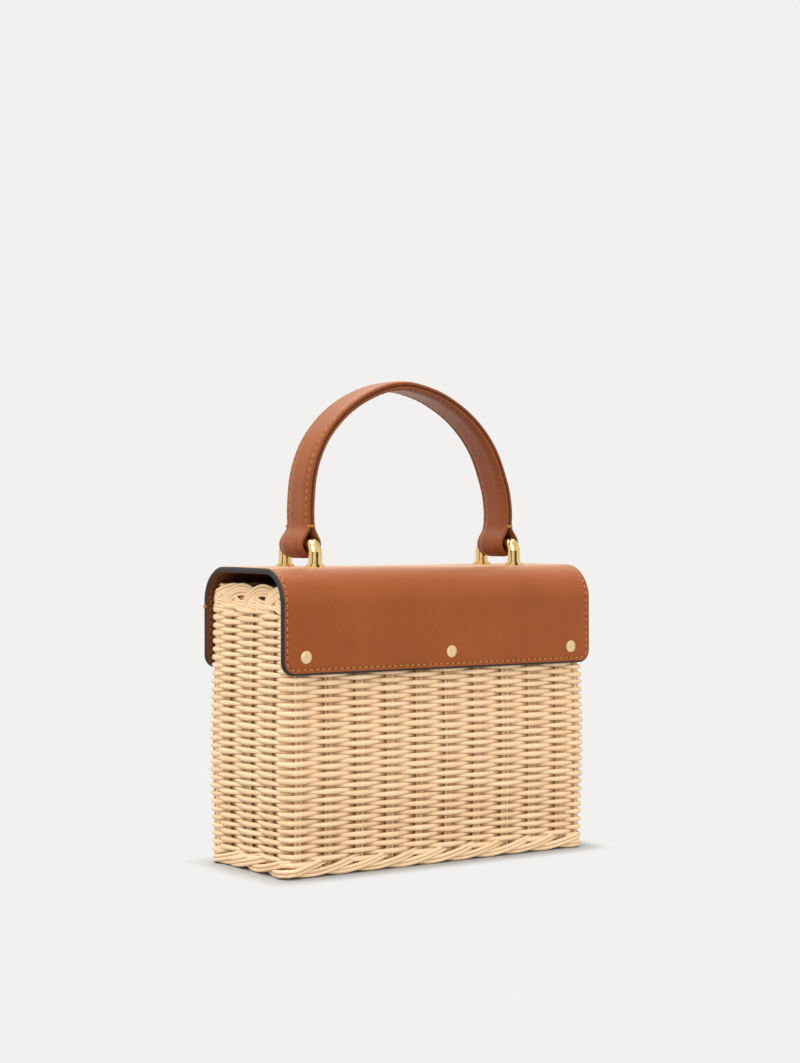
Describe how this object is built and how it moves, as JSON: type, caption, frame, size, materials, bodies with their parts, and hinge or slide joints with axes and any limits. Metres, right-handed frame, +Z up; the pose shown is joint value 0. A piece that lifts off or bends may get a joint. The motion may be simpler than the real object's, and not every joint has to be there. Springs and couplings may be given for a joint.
{
  "type": "wicker bag",
  "caption": "Woven reed box bag with a tan leather saddle cover that folds open as a lid, and a leather strap handle on brass staples",
  "frame": {"origin": "centre of the underside of the woven base, which rests on the ground", "axes": "+X along the bag's length, -Y out of the riveted wall, +Z up"},
  "size_m": [0.217, 0.0889, 0.278],
  "materials": {
    "reed": "pale natural straw-coloured reed, matt with a faint sheen, darker in the gaps",
    "tan_leather": "smooth tan vegetable-tanned leather with a soft sheen and dark painted edges",
    "brass": "polished pale gold brass",
    "steel": "plain nickel-plated steel"
  },
  "bodies": {
    "basket": {"woven_wall": "reed", "woven_base": "reed", "top_border": "reed", "foot_border": "reed", "cover_back": "tan_leather", "back_rivets": "brass", "rivet_washers": "brass", "snap_socket": "steel", "snap_backing": "steel"},
    "lid": {"cover_lid": "tan_leather", "handle_strap": "tan_leather", "handle_lining": "tan_leather", "left_staple": "brass", "right_staple": "brass", "staple_washers": "steel", "staple_screws": "steel", "snap_stud": "steel"}
  },
  "joints": [
    {"name": "lid_hinge", "type": "hinge", "parent": "basket", "child": "lid", "pos_m": [0, -0.03684, 0.16414], "axis": [1, 0, 0], "range_deg": [0, 110]}
  ]
}
